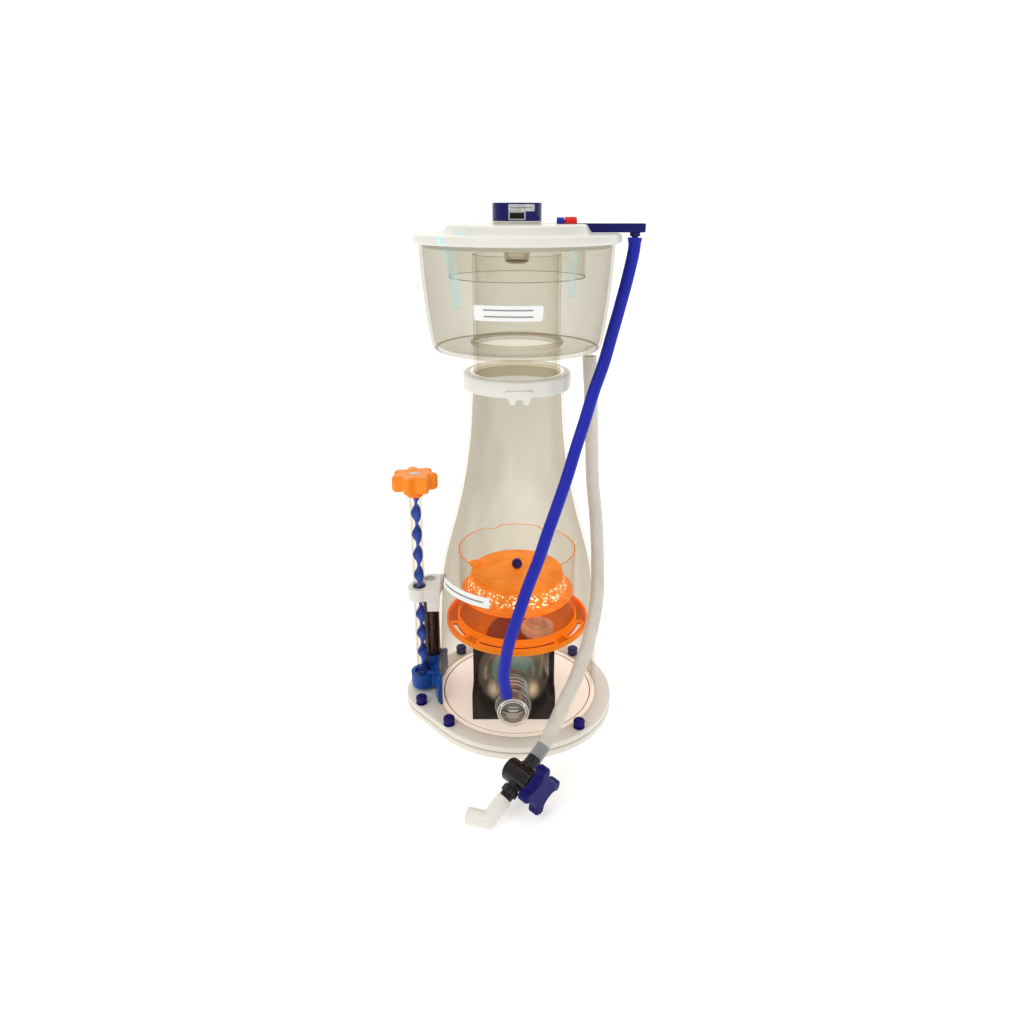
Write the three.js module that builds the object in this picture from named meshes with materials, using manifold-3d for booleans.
// Aquarium protein skimmer: base plates, clear reaction body with pump and bubble plate,
// foam cup with lid, water outlet with star knob, air hose and drain hose with its valve.
// Millimetres, +Z up. The underside of the base plate is z = 0 and the body stands on the Z axis.
// The pump's intake points to -Y, the outlet is on -X and the air arm on +X.
import * as THREE from 'three';
import { mergeVertices } from 'three/addons/utils/BufferGeometryUtils.js';
import Module from 'manifold-3d';

const wasm = await Module();
wasm.setup();

// ---- driving dimensions ----
const GAP = 0.3;

const PLATE_R = 107.2;
const LOBE_R = 52.8;
const LOBE_SHIFT = 74.2;
const PLATE_TOP = 7;
const GASKET_TOP = 8.4;
const FLANGE_TOP = 15;
const FLOOR_R = 83.5;
const SCREW_POSITIONS = [[66.3, -72.9], [69, 67.5], [-69.3, 70.5], [-72.9, -68.1], [-106.7, -31.4]];

const BODY_WALL = 3;
const NECK_TOP = 382.4;
const BODY_PROFILE = [[89, 15.3], [88.6, 65], [86, 127], [84, 155], [80.6, 178], [73.5, 206], [66.8, 230],
  [58.8, 264], [53.2, 297], [49.6, 330], [46.5, NECK_TOP]];

const LOCK_BOTTOM = 370;
const LOCK_TOP = 386.5;
const LOCK_R = 54;

const CUP_FLOOR = 410;
const CUP_TOP = 509.3;
const CUP_WALL = 3.2;
const RISER_R = 43;
const RISER_WALL = 2.8;
const RISER_BOTTOM = 373;
const RISER_TOP = 499;
const NIPPLE_X = 71.5;
const NIPPLE_Y = -8;

const LID_BOTTOM = 509.6;
const LID_RIM_TOP = 518;
const LID_TOP = 526.5;
const LID_R = 99;
const SKIRT_R = 66;
const SKIRT_BOTTOM = 478;
const CAP_R = 23.2;
const CAP_TOP = 545.5;
const VALVE_Z = 528.5;
const SPOUT_X = 112;

const PUMP_X = -4;
const PUMP_Z = 54.6;
const INTAKE_R = 15.5;
const INTAKE_FRONT = -103;
const RISE_X = 22;
const RISE_Y = -35;

const TRAY_R = 78.3;
const TRAY_BOTTOM = 105;
const CYLINDER_R = 63.5;
const CYLINDER_TOP = 192;
const DOME_FLANGE = 141;
const DOME_TOP = 166.6;

const STEM_X = -108;
const STEM_R = 7;
const KNOB_BOTTOM = 259.4;
const KNOB_TOP = 277.2;
const RISER_PIPE = [-98, 18];

const AIR_HOSE_R = 5.9;
const AIR_ROUTE = [[SPOUT_X, 0, 514], [111.2, -1, 501], [105.6, -5, 475], [98.6, -12, 449.5],
  [90.5, -24, 424.5], [82.3, -37, 400], [73, -44, 374.5], [65.1, -50, 348.5], [56.6, -57, 322.5],
  [48.6, -64, 296.5], [39.5, -72, 271], [29.9, -80, 245], [20.7, -88, 219], [10.2, -95, 192.5],
  [1, -100.5, 165], [-8, -103.5, 135.5], [-13, -102.5, 103], [-12.2, -100, 85], [-10.4, -97.4, 71.6]];
const DRAIN_HOSE_R = 7;
const DRAIN_ROUTE = [[NIPPLE_X, NIPPLE_Y, 402], [72.6, -8, 386], [74.8, -4, 357], [77.4, 1, 313],
  [79.7, 1, 268], [83.8, -8, 227], [85.3, -23, 187], [83.4, -46, 152.5], [73.9, -72, 121],
  [65.8, -86, 105], [57.4, -99.5, 89.5], [46.5, -113.5, 74.5], [37.2, -128, 61.5],
  [27.4, -143.6, 51], [17.8, -154.2, 42.7]];

const VALVE_CENTRE = [4, -167.6, 32];
const VALVE_TURN = -46;
const VALVE_SLOPE = 29;
const VALVE_R = 11.3;
const HANDLE_TURN = 48;
const ELBOW_REACH = 48.6;
const ELBOW_START = 24.6;
const ELBOW_LIMB = 20.4;
const ELBOW_HEADING = 163;
const PIPE_R = 7.7;

const group = new THREE.Group();

// ---- helpers ----
function clean(geometry) {
  const bare = geometry.clone();
  bare.deleteAttribute('normal');
  bare.deleteAttribute('uv');
  return mergeVertices(bare, 1e-3);
}

function solid(geometry) {
  const merged = clean(geometry);
  const index = merged.index.array;
  const kept = [];
  for (let i = 0; i < index.length; i += 3) {
    const [a, b, c] = [index[i], index[i + 1], index[i + 2]];
    if (a !== b && b !== c && a !== c) kept.push(a, b, c);
  }
  const mesh = new wasm.Mesh({
    numProp: 3,
    vertProperties: new Float32Array(merged.attributes.position.array),
    triVerts: new Uint32Array(kept),
  });
  const made = new wasm.Manifold(mesh);
  return made.volume() < 0 ? solid(flipped(merged)) : made;
}

function flipped(geometry) {
  const turned = geometry.clone();
  const index = turned.index.array;
  for (let i = 0; i < index.length; i += 3) {
    [index[i + 1], index[i + 2]] = [index[i + 2], index[i + 1]];
  }
  return turned;
}

function fromSolid(manifold) {
  const mesh = manifold.getMesh();
  const geometry = new THREE.BufferGeometry();
  geometry.setAttribute('position', new THREE.BufferAttribute(new Float32Array(mesh.vertProperties), 3));
  geometry.setIndex(new THREE.BufferAttribute(new Uint32Array(mesh.triVerts), 1));
  return geometry;
}

function add(name, shape, color, roughness = 0.4, extra = {}) {
  const material = new THREE.MeshStandardMaterial({ color, roughness, metalness: 0, ...extra });
  const mesh = new THREE.Mesh(fromSolid(shape), material);
  mesh.name = name;
  group.add(mesh);
}

// A turned shape about Z from [radius, z] points; a ring unless both ends lie on the axis.
function lathe(points, segments = 48) {
  const loop = points.map(([r, z]) => new THREE.Vector2(r, z));
  const onAxis = points[0][0] === 0 && points[points.length - 1][0] === 0;
  if (!onAxis) loop.push(loop[0].clone());
  const geometry = new THREE.LatheGeometry(loop, segments);
  geometry.rotateX(Math.PI / 2);
  return solid(geometry);
}

// A tube standing on Z.
function tube(outer, inner, z0, z1, segments = 48) {
  return lathe([[inner, z0], [outer, z0], [outer, z1], [inner, z1]], segments);
}

// A full cylinder standing on Z.
function rod(radius, z0, z1, segments = 24) {
  return lathe([[0, z0], [radius, z0], [radius, z1], [0, z1]], segments);
}

function box(x0, x1, y0, y1, z0, z1) {
  const geometry = new THREE.BoxGeometry(x1 - x0, y1 - y0, z1 - z0);
  geometry.translate((x0 + x1) / 2, (y0 + y1) / 2, (z0 + z1) / 2);
  return solid(geometry);
}

// An outline in the XY plane raised from z0 to z1, with its edges rounded by bevel.
function raised(outline, z0, z1, bevel = 0) {
  const shape = new THREE.Shape(outline.map(([x, y]) => new THREE.Vector2(x, y)));
  const geometry = new THREE.ExtrudeGeometry(shape, {
    depth: z1 - z0 - 2 * bevel,
    bevelEnabled: bevel > 0,
    bevelThickness: bevel,
    bevelSize: bevel,
    bevelOffset: -bevel,
    bevelSegments: 1,
    curveSegments: 12,
  });
  geometry.translate(0, 0, z0 + bevel);
  return solid(geometry);
}

// Lays a shape built about Z so that its axis runs along -Y, through (x, z).
function alongMinusY(shape, x, z) {
  return shape.rotate([90, 0, 0]).translate([x, 0, z]);
}

// Lays a shape built about Z so that its axis runs along +X, through (y, z).
function alongX(shape, y, z) {
  return shape.rotate([0, 90, 0]).translate([0, y, z]);
}

// Turns a shape built about Z, base at the origin, to point from one place to another.
function aimed(shape, from, to) {
  const way = new THREE.Vector3(...to).sub(new THREE.Vector3(...from)).normalize();
  const turn = new THREE.Quaternion().setFromUnitVectors(new THREE.Vector3(0, 0, 1), way);
  const matrix = new THREE.Matrix4().makeRotationFromQuaternion(turn);
  matrix.setPosition(...from);
  return shape.transform(matrix.elements);
}

// A ring sector in plan between two radii and two angles in degrees.
function sector(r0, r1, from, to, steps = 10) {
  const outline = [];
  for (let i = 0; i <= steps; i += 1) {
    const angle = THREE.MathUtils.degToRad(from + (to - from) * i / steps);
    outline.push([r1 * Math.cos(angle), r1 * Math.sin(angle)]);
  }
  for (let i = steps; i >= 0; i -= 1) {
    const angle = THREE.MathUtils.degToRad(from + (to - from) * i / steps);
    outline.push([r0 * Math.cos(angle), r0 * Math.sin(angle)]);
  }
  return outline;
}

// A wavy closed outline: a mean radius with a number of lobes of a given height.
function lobed(radius, height, lobes, steps, sharpness = 1) {
  const outline = [];
  for (let i = 0; i < steps; i += 1) {
    const angle = 2 * Math.PI * i / steps;
    const wave = Math.cos(lobes * angle);
    const bulge = Math.sign(wave) * Math.abs(wave) ** sharpness;
    const r = radius + height * bulge;
    outline.push([r * Math.cos(angle), r * Math.sin(angle)]);
  }
  return outline;
}

// Outer radius of the reaction body's wall at a height.
function bodyRadius(z) {
  for (let i = 1; i < BODY_PROFILE.length; i += 1) {
    const [r0, z0] = BODY_PROFILE[i - 1];
    const [r1, z1] = BODY_PROFILE[i];
    if (z <= z1) return r0 + (r1 - r0) * (z - z0) / (z1 - z0);
  }
  return BODY_PROFILE[BODY_PROFILE.length - 1][0];
}

// ---- base ----
// The plates' outline: the main circle and a smaller one under the outlet, joined by tangents.
function plateOutline(inset) {
  const outline = [];
  const turn = Math.PI - Math.acos((PLATE_R - LOBE_R) / LOBE_SHIFT);
  const steps = 28;
  const lobeSteps = 8;
  for (let i = 0; i <= steps; i += 1) {
    const angle = -turn + 2 * turn * i / steps;
    outline.push([(PLATE_R - inset) * Math.cos(angle), (PLATE_R - inset) * Math.sin(angle)]);
  }
  for (let i = 0; i <= lobeSteps; i += 1) {
    const angle = turn + (2 * Math.PI - 2 * turn) * i / lobeSteps;
    outline.push([-LOBE_SHIFT + (LOBE_R - inset) * Math.cos(angle), (LOBE_R - inset) * Math.sin(angle)]);
  }
  return outline;
}

function drillScrewHoles(plate, radius, z0, z1) {
  let drilled = plate;
  for (const [x, y] of SCREW_POSITIONS) {
    drilled = drilled.subtract(rod(radius, z0, z1, 6).translate([x, y, 0]));
  }
  return drilled;
}

const innerFloor = rod(FLOOR_R, PLATE_TOP - 1, FLANGE_TOP - GAP, 36);
const basePlate = raised(plateOutline(0), 0, PLATE_TOP, 1.4).add(innerFloor);
add('base_plate', drillScrewHoles(basePlate, 2.7, 3, PLATE_TOP + 1), '#f2ead8', 0.45);

const innerHole = lathe([[0, -5], [FLOOR_R + 0.5, -5], [FLOOR_R + 0.5, 30], [0, 30]], 36);
const gasket = raised(plateOutline(2.2), PLATE_TOP + GAP, GASKET_TOP).subtract(innerHole);
add('base_gasket', drillScrewHoles(gasket, 2.7, 0, 20), '#cfc6b2', 0.8);

const flange = raised(plateOutline(0), GASKET_TOP + GAP, FLANGE_TOP, 1.4).subtract(innerHole);
add('body_flange', drillScrewHoles(flange, 2.7, 0, 20), '#f2ead8', 0.4);

// Knurled thumb screw: toothed head over a plain waist and a shank that reaches the base plate.
function thumbScrew() {
  const head = raised(lobed(6.1, 0.35, 9, 18), 19, 24.4, 0.6);
  const waist = rod(5.2, FLANGE_TOP + GAP, 19.5, 10);
  const shank = rod(2.3, 3.4, 16, 6);
  return head.add(waist).add(shank);
}

SCREW_POSITIONS.forEach(([x, y], i) => {
  add(`base_screw_${i + 1}`, thumbScrew().translate([x, y, 0]), '#2b2487', 0.4);
});

// ---- reaction body ----
const bodyInside = BODY_PROFILE.map(([r, z]) => [r - BODY_WALL, z]).reverse();
const intakeHole = alongMinusY(rod(INTAKE_R + 1.9, 70, 110, 32), PUMP_X, PUMP_Z);
const outletHole = alongX(rod(7, -100, -75, 24), 0, 30);
add('body_shell', lathe([...BODY_PROFILE, ...bodyInside], 36).subtract(intakeHole).subtract(outletHole),
  '#d6cfbe', 0.08, { transparent: true, opacity: 0.35 });

// Lock ring: its lip covers the neck's end; a grip tab with two prongs hangs at the front.
function lockRing() {
  const ring = lathe([[48, LOCK_BOTTOM], [LOCK_R - 1.5, LOCK_BOTTOM], [LOCK_R, LOCK_BOTTOM + 1.5],
    [LOCK_R, LOCK_TOP - 1.8], [LOCK_R - 1.6, LOCK_TOP], [46.3, LOCK_TOP],
    [45.6, LOCK_TOP - 0.7], [45.6, NECK_TOP + 0.4], [47.2, NECK_TOP + 0.4]], 36);
  const outline = [[-11.5, 8], [-11.5, 5.5], [-8, 0], [-6, -5], [-2.5, -5], [-1.5, 0.5], [6, 0.5], [7.2, -5],
    [10.6, -5], [12.6, 0], [16, 5.5], [16, 8]];
  const upright = raised(outline, 0, 6.6, 0.6).rotate([90, 0, 0]);
  const tab = upright.translate([0, -LOCK_R + 5.8, LOCK_BOTTOM - 1.2]);
  const neckRoom = rod(bodyRadius(LOCK_BOTTOM) + 0.6, LOCK_BOTTOM - 12, LOCK_BOTTOM + 8, 36);
  return ring.add(tab.subtract(neckRoom));
}

add('neck_lock_ring', lockRing(), '#f3f1ea', 0.35);
add('neck_seal', lathe([[43.4, NECK_TOP + 0.4], [45.2, NECK_TOP + 0.4], [45.2, LOCK_TOP - 0.8],
  [44.3, LOCK_TOP - 0.2], [43.4, LOCK_TOP - 0.8]], 36), '#e9dfc0', 0.6);

// ---- foam cup ----
const cupProfile = [[RISER_R + GAP, CUP_FLOOR], [77.8, CUP_FLOOR], [81.2, CUP_FLOOR + 0.9],
  [83.5, CUP_FLOOR + 4], [86.6, CUP_FLOOR + 21], [91, CUP_FLOOR + 60], [93.5, CUP_TOP],
  [93.5 - CUP_WALL, CUP_TOP],
  [91 - CUP_WALL, CUP_FLOOR + 60], [86.6 - CUP_WALL, CUP_FLOOR + 21], [80.6, CUP_FLOOR + 7],
  [77.4, CUP_FLOOR + 3.6], [RISER_R + GAP, CUP_FLOOR + 3.6]];
const drainHole = rod(3.9, 380, 430, 16).translate([NIPPLE_X, NIPPLE_Y, 0]);
const glass = { transparent: true, opacity: 0.35 };
add('cup_bowl', lathe(cupProfile, 36).subtract(drainHole), '#d6cfbe', 0.08, glass);

add('cup_riser', tube(RISER_R, RISER_R - RISER_WALL, RISER_BOTTOM, RISER_TOP, 36), '#d2cbb8', 0.08, glass);

add('cup_seat_ring', lathe([[RISER_R + GAP, CUP_FLOOR + 3.9], [RISER_R + 2.4, CUP_FLOOR + 3.9],
  [RISER_R + 3.2, CUP_FLOOR + 5.4], [RISER_R + GAP, CUP_FLOOR + 8.4]], 36),
'#cfc7b2', 0.1, glass);

add('cup_drain_nipple', lathe([[3, 393], [3.8, 393], [4.2, 395], [3.8, 396.5], [4.2, 398.5], [3.8, 400],
  [4, 402.6], [6.3, 403.4], [6.3, CUP_FLOOR - GAP], [3, CUP_FLOOR - GAP]], 14)
  .translate([NIPPLE_X, NIPPLE_Y, 0]), '#d6cfbe', 0.1, glass);

// ---- lid ----
function lid() {
  const cover = lathe([[15, LID_RIM_TOP + 2], [15, LID_TOP + 1.6], [CAP_R - 0.6, LID_TOP + 1.6],
    [CAP_R - 0.3, LID_TOP], [64.5, LID_TOP], [67, LID_TOP - 1], [68.5, LID_TOP - 4.5], [71.5, LID_RIM_TOP],
    [LID_R - 1.4, LID_RIM_TOP], [LID_R, LID_RIM_TOP - 1.4], [LID_R, LID_BOTTOM + 1.4],
    [LID_R - 1.4, LID_BOTTOM], [89.8, LID_BOTTOM], [89.5, LID_BOTTOM - 4], [86.8, LID_BOTTOM - 4],
    [86.5, LID_BOTTOM], [SKIRT_R + GAP, LID_BOTTOM], [SKIRT_R + GAP, LID_BOTTOM + 2.3],
    [SKIRT_R - 2.2, LID_BOTTOM + 2.3], [SKIRT_R - 2.2, LID_BOTTOM + 1], [59, LID_BOTTOM + 1],
    [56, LID_RIM_TOP + 2]], 32);
  const armNotch = box(55.5, 80, -6.6, 6.6, LID_RIM_TOP + 0.2, LID_TOP + 4);
  const dialNotch = box(36.6, 57, -5.2, 5.2, VALVE_Z - 4.5, LID_TOP + 4);
  const armBoss = box(55, 73, -9, 9, LID_RIM_TOP - 4, LID_RIM_TOP + 0.2);
  return cover.add(armBoss).subtract(armNotch).subtract(dialNotch);
}

add('cup_lid', lid(), '#f4f0e4', 0.4);

add('lid_skirt', tube(SKIRT_R, SKIRT_R - 1.9, SKIRT_BOTTOM, LID_BOTTOM + 2, 32), '#d6cfbe', 0.08, glass);

// Clear cup of the air silencer: hangs through the lid's centre hole on its top flange.
add('vent_cup', lathe([[0, 490], [7, 490.3], [10.4, 491.6], [11.7, 493.6], [14.4, 509], [14.6, LID_TOP + 1.9],
  [19, LID_TOP + 1.9], [19, LID_TOP + 3.7], [12.9, LID_TOP + 3.7], [12.7, 509], [10, 494.6], [8.8, 493.2],
  [6, 492.2], [0, 492]], 16), '#d2cab6', 0.08, glass);

function ventCap() {
  const shell = lathe([[20.6, LID_TOP + 1.9], [CAP_R, LID_TOP + 1.9], [CAP_R, CAP_TOP - 1.2],
    [CAP_R - 1.2, CAP_TOP], [0, CAP_TOP], [0, CAP_TOP - 2.4], [20.6, CAP_TOP - 2.4]].reverse(), 28);
  const slot = box(-8.2, 8.2, -30, -15, LID_TOP + 3.4, LID_TOP + 11.6);
  return shell.subtract(slot);
}

add('vent_cap', ventCap(), '#231e6e', 0.35);

// Framed grille in the cap's front slot.
function ventWindow() {
  const ring = tube(CAP_R + 0.3, CAP_R - 2, LID_TOP + 3.7, LID_TOP + 11.3, 48);
  let pane = ring.intersect(box(-7.9, 7.9, -30, -10, LID_TOP, CAP_TOP));
  const recess = tube(CAP_R + 2, CAP_R - 1, LID_TOP + 4.7, LID_TOP + 10.3, 48);
  pane = pane.subtract(recess.intersect(box(-6.7, 6.7, -30, -10, LID_TOP, CAP_TOP)));
  for (let x = -4.5; x < 5; x += 3) {
    pane = pane.subtract(box(x - 0.8, x + 0.8, -30, -10, LID_TOP + 5.6, LID_TOP + 9.4));
  }
  return pane;
}

add('vent_window', ventWindow(), '#8d8fa3', 0.4);

// Air arm: a flat channel from the lid's centre step to the spout over the hose.
function airArm() {
  const outline = [[57, 3.4], [57, 8.2], [120.3, 8.2], [121, 7.5], [121, 0.9], [120.2, 0], [72, 0],
    [60.5, 0]];
  const bar = raised(outline, -6, 6, 0.7).rotate([90, 0, 0]).translate([0, 0, LID_RIM_TOP + 0.8]);
  const spout = lathe([[0, 506], [2.9, 506], [3.2, 508], [2.9, 510], [3.1, 512], [3, 515], [5, 515.4],
    [5, 520], [0, 520]], 14).translate([SPOUT_X, 0, 0]);
  const bore = rod(2.2, 500, 523, 12).translate([SPOUT_X, 0, 0]);
  const channel = alongX(rod(2, 50, SPOUT_X + 1, 12), 0, 522.9);
  return bar.add(spout).subtract(bore).subtract(channel);
}

add('air_arm', airArm(), '#262078', 0.35);

// Air valve: barrel with a stem through the dial that is turned to set the air flow.
const barrel = rod(4, 37.4, 44.4, 24).add(rod(1.8, 44, 56.2, 16));
add('air_valve_barrel', alongX(barrel, 0, VALVE_Z), '#2b3bb0', 0.35);
const dial = raised(lobed(3.85, 0.25, 10, 20), 44.8, 56.4, 0.5).subtract(rod(2.1, 40, 60, 16));
add('air_valve_dial', alongX(dial, 0, VALVE_Z), '#e8382c', 0.35);

// ---- pump ----
// A shape turned about the pump's axis from [radius, distance in front of the body's axis] points.
function aboutPumpAxis(points, segments = 24) {
  return alongMinusY(lathe(points, segments), PUMP_X, PUMP_Z);
}

const volute = aboutPumpAxis([[39, 22], [39, 36], [37.2, 43], [31, 48.6], [18.6, 50.6], [18.6, 58],
  [15.9, 58], [15.9, 48.6], [28, 46.8], [34, 42], [36.5, 35], [36.5, 22]]);
const risePort = rod(13.8, PUMP_Z, 100.6, 24).translate([RISE_X, RISE_Y, 0]);
const voluteInside = aboutPumpAxis([[0, 21], [36.5, 21], [36.5, 35], [34, 42], [28, 46.8], [0, 46.8]]);
const riseBore = rod(11.2, PUMP_Z, 120, 24).translate([RISE_X, RISE_Y, 0]);
add('pump_volute', volute.add(risePort.subtract(voluteInside)).subtract(riseBore), '#5d5148', 0.12,
  { transparent: true, opacity: 0.6 });

const motor = aboutPumpAxis([[36, 21.7], [36, 17], [33.5, 15], [33.5, -38], [30, -42], [0, -42], [0, -39],
  [11.6, -39], [11.6, 21.7]]);
const riseClear = rod(14.2, 40, 110, 24).translate([RISE_X, RISE_Y, 0]);
add('pump_motor', motor.subtract(riseClear), '#1f1a19', 0.4);

function cradle() {
  const foot = box(PUMP_X - 44, PUMP_X + 45, -61, 34, FLANGE_TOP + GAP, 46);
  const ears = box(PUMP_X - 44, PUMP_X + 45, -32, -22, 45, 86);
  const seat = aboutPumpAxis([[0, -60], [34, -60], [34, 14], [36.6, 16.4], [40, 16.4], [40, 70],
    [0, 70]], 24);
  const mouth = box(PUMP_X - 19, PUMP_X + 19, -70, -45, 20, 90);
  return foot.add(ears).subtract(seat).subtract(mouth).subtract(riseClear);
}

add('pump_cradle', cradle(), '#2a201c', 0.35);

// Needle wheel: disc with two rings of pins facing the intake, turning on the rotor's shaft.
function impeller() {
  let wheel = aboutPumpAxis([[2.3, 24.2], [24, 24.2], [24, 26.6], [8, 26.6], [8, 36], [2.3, 36]], 32);
  for (const [radius, count] of [[20.5, 8], [14, 5]]) {
    for (let i = 0; i < count; i += 1) {
      const angle = 2 * Math.PI * i / count;
      const pin = rod(1.4, 26, 40, 5).translate([radius * Math.cos(angle), radius * Math.sin(angle), 0]);
      wheel = wheel.add(alongMinusY(pin, PUMP_X, PUMP_Z));
    }
  }
  return wheel;
}

add('impeller', impeller(), '#2c8fa0', 0.4);
const magnet = aboutPumpAxis([[2.3, -30], [10.4, -30], [10.4, 18], [6, 19], [6, 23.9], [2.3, 23.9]]);
add('rotor_magnet', magnet, '#3c3c40', 0.4);
const shaft = aboutPumpAxis([[0, -36], [2, -36], [2, 40], [0, 40]], 16);
add('rotor_shaft', shaft, '#d8d8da', 0.2, { metalness: 0.6 });

function intakePipe() {
  const profile = [[12.8, 51], [INTAKE_R, 51]];
  for (let y = 59; y <= 78; y += 6) {
    profile.push([INTAKE_R - 0.8, y + 1], [INTAKE_R - 0.8, y + 2], [INTAKE_R, y + 3], [INTAKE_R, y + 6]);
  }
  profile.push([INTAKE_R, 99.6], [INTAKE_R + 0.7, 100.6], [INTAKE_R + 0.7, -INTAKE_FRONT - 0.6],
    [INTAKE_R + 0.2, -INTAKE_FRONT], [12.4, -INTAKE_FRONT], [11.6, -INTAKE_FRONT - 1.5],
    [11.6, 97], [12.8, 95]);
  const pipe = alongMinusY(lathe(profile, 20), PUMP_X, PUMP_Z);
  return pipe.subtract(rod(2.6, PUMP_Z, 80, 12).translate([-10, -97, 0]));
}

add('pump_intake', intakePipe(), '#d9cfbd', 0.08, glass);

// Seal between the intake pipe and the body's wall: a lipped ring that follows the wall's curve.
function intakeSeal() {
  const outside = alongMinusY(tube(INTAKE_R + 3.6, INTAKE_R + GAP, 84, 91.2, 20), PUMP_X, PUMP_Z);
  const throat = alongMinusY(tube(INTAKE_R + 1.6, INTAKE_R + GAP, 82, 91.2, 20), PUMP_X, PUMP_Z);
  return outside.subtract(rod(89.3, 0, 120, 40)).add(throat.subtract(rod(86, 0, 120, 40)));
}

add('intake_seal', intakeSeal(), '#cfc5b4', 0.3, glass);

// Air inlet on the intake's top: a foot on the pipe and a barb that leans with the hose.
const venturiFoot = rod(4.6, PUMP_Z + 8, 70, 14).translate([-10, -97, 0]);
const venturiBarb = aimed(rod(3.1, 0, 11, 12), [-10, -97, 68], [-12.6, -100.3, 91]);
const intakeRoom = alongMinusY(rod(INTAKE_R + 0.7 + GAP, 80, 110, 48), PUMP_X, PUMP_Z);
const venturiBore = aimed(rod(1.9, -12, 20, 10), [-10, -97, 68], [-12.6, -100.3, 91]);
add('venturi_barb', venturiFoot.add(venturiBarb).subtract(intakeRoom).subtract(venturiBore),
  '#ddd6c8', 0.1, glass);

const risePipe = tube(10.9, 8.9, 84, 121, 24);
add('pump_outlet_pipe', risePipe.translate([RISE_X, RISE_Y, 0]), '#d9cfbd', 0.08, glass);

// ---- bubble plate ----
function outletNut() {
  const body = raised(lobed(17.4, 0.5, 16, 32), TRAY_BOTTOM + 4.1, 117.5, 0.6);
  return body.subtract(rod(11.2, 90, 130, 24)).translate([RISE_X, RISE_Y, 0]);
}

add('pump_outlet_nut', outletNut(), '#e6d8c4', 0.1, glass);

function bubbleTray() {
  let tray = lathe([[0, 106], [TRAY_R - 2, 106], [TRAY_R - 1.6, TRAY_BOTTOM], [TRAY_R - 0.5, TRAY_BOTTOM],
    [TRAY_R, TRAY_BOTTOM + 0.8], [TRAY_R, 110.6], [TRAY_R - 1, 111.2], [TRAY_R - 2, 108.6],
    [66.2, 108.6], [65.6, 116], [64.2, 116], [64, 108.6], [0, 108.6]], 32);
  for (const [middle, half] of [[-90, 36], [-28, 15], [90, 30], [-152, 14]]) {
    const rim = sector(66.2, 75.9, middle - half, middle + half, 4);
    tray = tray.add(raised(rim, 108, 111.4));
    tray = tray.subtract(raised(sector(68, 74, middle - half + 2, middle + half - 2, 4), 100, 120));
  }
  return tray.subtract(rod(11.3, 90, 130, 24).translate([RISE_X, RISE_Y, 0]));
}

const orange = { transparent: true, opacity: 0.8 };
add('bubble_tray', bubbleTray(), '#ff8a14', 0.25, orange);

// Clear cylinder on the tray; its top edge dips at the back and it carries a ledge for the dome.
function bubbleCylinder() {
  let wall = lathe([[CYLINDER_R - 1.7, 108.9], [CYLINDER_R, 108.9], [CYLINDER_R, CYLINDER_TOP],
    [CYLINDER_R - 1.7, CYLINDER_TOP], [CYLINDER_R - 1.7, DOME_FLANGE - 0.4],
    [CYLINDER_R - 3.7, DOME_FLANGE - 0.4], [CYLINDER_R - 3.7, DOME_FLANGE - 2],
    [CYLINDER_R - 1.7, DOME_FLANGE - 4]], 36);
  for (const angle of [60, 115]) {
    const dip = rod(14, 40, 80, 16).rotate([0, 90, 0]).translate([0, 0, CYLINDER_TOP + 11]);
    wall = wall.subtract(dip.rotate([0, 0, angle]));
  }
  return wall;
}

add('bubble_cylinder', bubbleCylinder(), '#f0b890', 0.1, glass);

function bubbleDome() {
  let dome = lathe([[0, DOME_TOP], [47.5, DOME_TOP], [49.5, DOME_TOP - 1.4], [54.5, 147], [54.5, 144],
    [61.3, 143.6], [61.5, DOME_FLANGE + 1], [61.3, DOME_FLANGE], [51.8, DOME_FLANGE], [52, 146],
    [46.4, DOME_TOP - 2.6], [0, DOME_TOP - 2.6]].reverse(), 28);
  const tab = box(-52, -40, 2, 17, DOME_TOP - 6, DOME_TOP + 2.6);
  const tabRoom = lathe([[0, DOME_TOP - 30], [49, DOME_TOP - 30], [46.4, DOME_TOP - 2.2],
    [0, DOME_TOP - 2.2]].reverse(), 28);
  dome = dome.add(tab.subtract(tabRoom));
  for (let i = 0; i < 14; i += 1) {
    const hole = rod(1.5, 40, 70, 5).rotate([0, 90, 0]).translate([0, 0, 155]);
    dome = dome.subtract(hole.rotate([0, 0, i * 360 / 14]));
  }
  return dome.subtract(rod(2.3, 150, 180, 12));
}

add('bubble_dome', bubbleDome(), '#ff8614', 0.3, orange);

add('dome_knob', lathe([[0, 158], [2, 158], [2, 167.2], [3.4, 167.2], [5.4, 169.6], [5.9, 172.4], [5, 175.4],
  [2.8, 177.4], [0, 177.9]], 16), '#45339b', 0.4);

// ---- water outlet ----
// Blue valve housing: a cup under the stem, a saddle on the body's wall and a socket for the pipe.
function outletHousing() {
  const cup = rod(13.5, 20, 36.5, 24).translate([STEM_X, 0, 0]);
  const saddle = raised(sector(88, 94, 158, 202, 12), 18, 44)
    .add(raised(sector(88, 92.2, 174, 202, 8), FLANGE_TOP + GAP, 51));
  const socket = rod(11.6, FLANGE_TOP + GAP, 50, 24).translate([RISER_PIPE[0], RISER_PIPE[1], 0]);
  const bridge = box(STEM_X, -91, -8, 8, 20, 40);
  const wall = lathe([[0, 0], [89.6, 0], [89.2, 65], [88.4, 90], [0, 90]], 40);
  const seat = rod(9.4, 22.4, 60, 24).translate([STEM_X, 0, 0]);
  const pocket = rod(9.2, 24, 60, 24).translate([RISER_PIPE[0], RISER_PIPE[1], 0]);
  const inflow = alongX(rod(6, -100, -80, 20), 0, 30);
  const housing = cup.add(saddle).add(socket).add(bridge);
  return housing.subtract(wall).subtract(seat).subtract(pocket).subtract(inflow);
}

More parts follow.
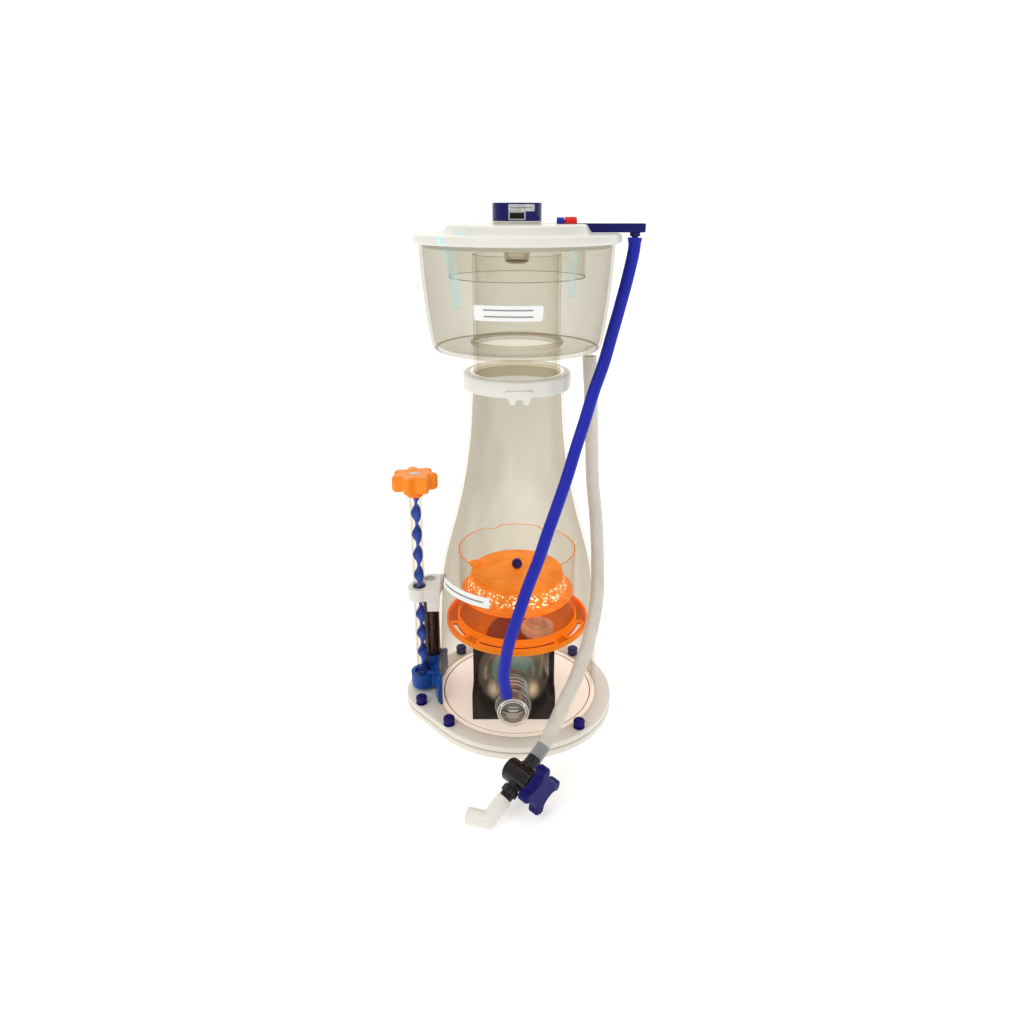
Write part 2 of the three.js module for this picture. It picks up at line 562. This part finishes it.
add('outlet_valve_body', outletHousing(), '#2457a8', 0.4);

// Rotary plug in the cup: a sleeve with a side window, closed at the top around the stem.
function outletPlug() {
  const sleeve = lathe([[0, 34], [0, 32.4], [6.9, 32.4], [6.9, 23], [9, 23], [9, 34]].reverse(), 24);
  const window = alongX(rod(4, 0, 20, 16), 0, 27.8);
  return sleeve.subtract(window).translate([STEM_X, 0, 0]);
}

add('outlet_valve_plug', outletPlug(), '#1d3f8e', 0.4);

const outletRiser = tube(8.9, 7.2, 24.4, 118, 28).translate([RISER_PIPE[0], RISER_PIPE[1], 0]);
add('outlet_riser', outletRiser, '#2a1c18', 0.2, { transparent: true, opacity: 0.85 });

// Bracket: a lobe around the stem tube, a block against the body and a cap over the outlet pipe.
function outletBracket() {
  const lobe = rod(12.5, 131, 145, 28).translate([STEM_X, 0, 0]);
  const block = raised([[-104, -11], [-80, -11], [-80, 27], [-93, 30], [-103, 28], [-109, 14],
    [-112, 8]], 131, 145);
  const drop = raised([[-99, -10.5], [-80, -10.5], [-80, 2], [-99, 2]], 118.6, 132);
  const wall = lathe([[0, 100], [87.5, 100], [86.4, 127], [85, 145], [84, 160], [0, 160]].reverse(), 48);
  const stemHole = rod(STEM_R + 0.4, 100, 160, 24).translate([STEM_X, 0, 0]);
  const flow = rod(6.5, 100, 160, 24).translate([RISER_PIPE[0], RISER_PIPE[1], 0]);
  return lobe.add(block).add(drop).subtract(wall).subtract(stemHole).subtract(flow);
}

add('outlet_bracket', outletBracket(), '#efe9dc', 0.4);

const stemTube = tube(STEM_R, STEM_R - 1.4, 34.3, 259, 24).translate([STEM_X, 0, 0]);
add('stem_tube', stemTube, '#ddd6ca', 0.08, glass);

// Twisted strip inside the stem tube.
function stemSpiral() {
  const width = 10.4;
  const pitch = 48.6;
  const low = 36;
  const high = 258.6;
  const strip = new THREE.BoxGeometry(width, 1.5, high - low, 1, 1, 120);
  strip.translate(0, 0, (low + high) / 2);
  const place = strip.attributes.position;
  for (let i = 0; i < place.count; i += 1) {
    const angle = 2 * Math.PI * (place.getZ(i) - low) / pitch;
    const x = place.getX(i);
    const y = place.getY(i);
    place.setXY(i, x * Math.cos(angle) - y * Math.sin(angle), x * Math.sin(angle) + y * Math.cos(angle));
  }
  return solid(strip).translate([STEM_X, 0, 0]);
}

add('stem_spiral', stemSpiral(), '#2f48b8', 0.4);

// Star knob: seven lobes over a sleeve that slips down around the stem tube's end.
function starKnob() {
  const star = raised(lobed(21.6, 3.2, 7, 28, 0.8), KNOB_BOTTOM, KNOB_TOP, 2.2);
  const sleeve = tube(8.8, STEM_R + GAP, KNOB_BOTTOM - 7.4, KNOB_BOTTOM + 1, 24);
  const dish = rod(8, KNOB_TOP - 0.8, KNOB_TOP + 2, 24);
  return star.add(sleeve).subtract(dish).translate([STEM_X, 0, 0]);
}

add('star_knob', starKnob(), '#ff8c28', 0.4);

// ---- hoses ----
// A hose along a route of points: a round tube with a bore.
function hose(route, outer, inner, steps) {
  const curve = new THREE.CatmullRomCurve3(route.map((point) => new THREE.Vector3(...point)));
  const shape = new THREE.Shape();
  const bore = new THREE.Path();
  const sides = 8;
  for (let i = 0; i < sides; i += 1) {
    const angle = 2 * Math.PI * i / sides;
    const [c, s] = [Math.cos(angle), Math.sin(angle)];
    if (i === 0) shape.moveTo(outer * c, outer * s);
    if (i === 0) bore.moveTo(inner * c, inner * s);
    if (i > 0) shape.lineTo(outer * c, outer * s);
    if (i > 0) bore.lineTo(inner * c, inner * s);
  }
  shape.closePath();
  bore.closePath();
  shape.holes.push(bore);
  return solid(new THREE.ExtrudeGeometry(shape, { steps, bevelEnabled: false, extrudePath: curve }));
}

add('air_hose', hose(AIR_ROUTE, AIR_HOSE_R, 4.2, 24), '#2c2fa6', 0.45);
add('drain_hose', hose(DRAIN_ROUTE, DRAIN_HOSE_R, 5.2, 22), '#d2cabd', 0.5,
  { transparent: true, opacity: 0.8 });

// ---- drain valve ----
// Built with the stem along +X and the flow along Y, then tilted: the elbow lies on the floor
// and the hose holds the valve's upper side.
const valveTurn = THREE.MathUtils.degToRad(VALVE_TURN);
const valveSlope = THREE.MathUtils.degToRad(VALVE_SLOPE);
const flowWay = [
  -Math.sin(valveTurn) * Math.cos(valveSlope),
  Math.cos(valveTurn) * Math.cos(valveSlope),
  Math.sin(valveSlope),
];

// A point on the valve's flow line, positive towards the hose.
function onFlow(reach) {
  return VALVE_CENTRE.map((value, i) => value + reach * flowWay[i]);
}

function inPlace(shape) {
  return shape.rotate([VALVE_SLOPE, 0, VALVE_TURN]).translate(VALVE_CENTRE);
}

function drainValveBody() {
  const barrelBody = alongX(lathe([[0, -15.8], [VALVE_R - 0.8, -15.8], [VALVE_R, -15], [VALVE_R, 16],
    [0, 16]], 24), 0, 0);
  const inlet = rod(7, 8, 21.5, 20).rotate([-90, 0, 0]);
  const outlet = rod(6.6, 8, 12.9, 20).rotate([90, 0, 0]);
  const plugRoom = alongX(rod(8.9, -12.6, 20, 24), 0, 0);
  const bore = rod(4.2, -40, 40, 16).rotate([90, 0, 0]);
  return inPlace(barrelBody.add(inlet).add(outlet).subtract(plugRoom).subtract(bore));
}

add('drain_valve_body', drainValveBody(), '#1b1c1a', 0.35);

// Grey barb pushed into the hose's end.
const barb = lathe([[2.6, 0], [4.4, 0], [4.1, 2], [4.4, 3.5], [4, 5.5], [4.2, 7], [3.6, 11], [2.6, 11]], 14);
add('drain_barb', aimed(barb, onFlow(21.8), onFlow(40)), '#7c8790', 0.4);

function drainPlug() {
  const plug = rod(8.6, -12.2, 13, 24).subtract(rod(4.2, -30, 30, 16).rotate([90, 0, 0]));
  const stem = raised([[-3, -3], [3, -3], [3, 3], [-3, 3]], 12, 24);
  return inPlace(alongX(plug.add(stem), 0, 0));
}

add('drain_valve_plug', drainPlug(), '#c9c7c0', 0.4);

// Cross handle with four flared arms and a skirt behind its face.
function drainHandle() {
  const outline = [];
  for (let arm = 0; arm < 4; arm += 1) {
    const turn = Math.PI / 2 * arm + THREE.MathUtils.degToRad(HANDLE_TURN);
    for (const [r, a] of [[23.3, -0.2], [23.7, 0], [23.3, 0.2], [17, 0.27], [14.2, 0.5], [13.4, Math.PI / 4],
      [14.2, Math.PI / 2 - 0.5], [17, Math.PI / 2 - 0.27]]) {
      outline.push([r * Math.cos(turn + a), r * Math.sin(turn + a)]);
    }
  }
  const face = raised(outline, 18.4, 29.4, 1);
  const socket = box(-3.3, 3.3, -3.3, 3.3, 10, 24.4);
  return inPlace(alongX(face.subtract(socket), 0, 0));
}

add('drain_valve_handle', drainHandle(), '#1f1c74', 0.35);

// Ribbed union nut with a threaded neck into the elbow's end.
const ribbedNut = raised(lobed(7.9, 0.5, 12, 24), 0, 6.8, 0.5);
const nut = ribbedNut.add(rod(6.4, 6.4, 11, 20)).subtract(rod(4.6, -5, 20, 20));
add('drain_union_nut', aimed(nut, onFlow(-13.2), onFlow(-ELBOW_REACH)), '#1d1e1c', 0.4);

// White pipe elbow: one limb to the union nut, the other open at its end.
function drainElbow() {
  const corner = onFlow(-ELBOW_REACH);
  const heading = THREE.MathUtils.degToRad(ELBOW_HEADING);
  const end = [
    corner[0] + ELBOW_LIMB * Math.cos(heading),
    corner[1] + ELBOW_LIMB * Math.sin(heading),
    corner[2],
  ];
  const start = onFlow(-ELBOW_START);
  const long = ELBOW_REACH - ELBOW_START;
  const upper = aimed(rod(PIPE_R, 0, long, 18), start, corner);
  const lower = aimed(rod(PIPE_R, 0, ELBOW_LIMB, 18), end, corner);
  const ball = solid(new THREE.SphereGeometry(PIPE_R, 12, 8)).translate(corner);
  const upperBore = aimed(rod(5.6, -1, long, 12), start, corner);
  const lowerBore = aimed(rod(5.6, -1, ELBOW_LIMB, 12), end, corner);
  const cornerBore = solid(new THREE.SphereGeometry(5.6, 10, 6)).translate(corner);
  return upper.add(lower).add(ball).subtract(upperBore).subtract(lowerBore).subtract(cornerBore);
}

add('drain_elbow', drainElbow(), '#f1efe6', 0.4);

export default group;
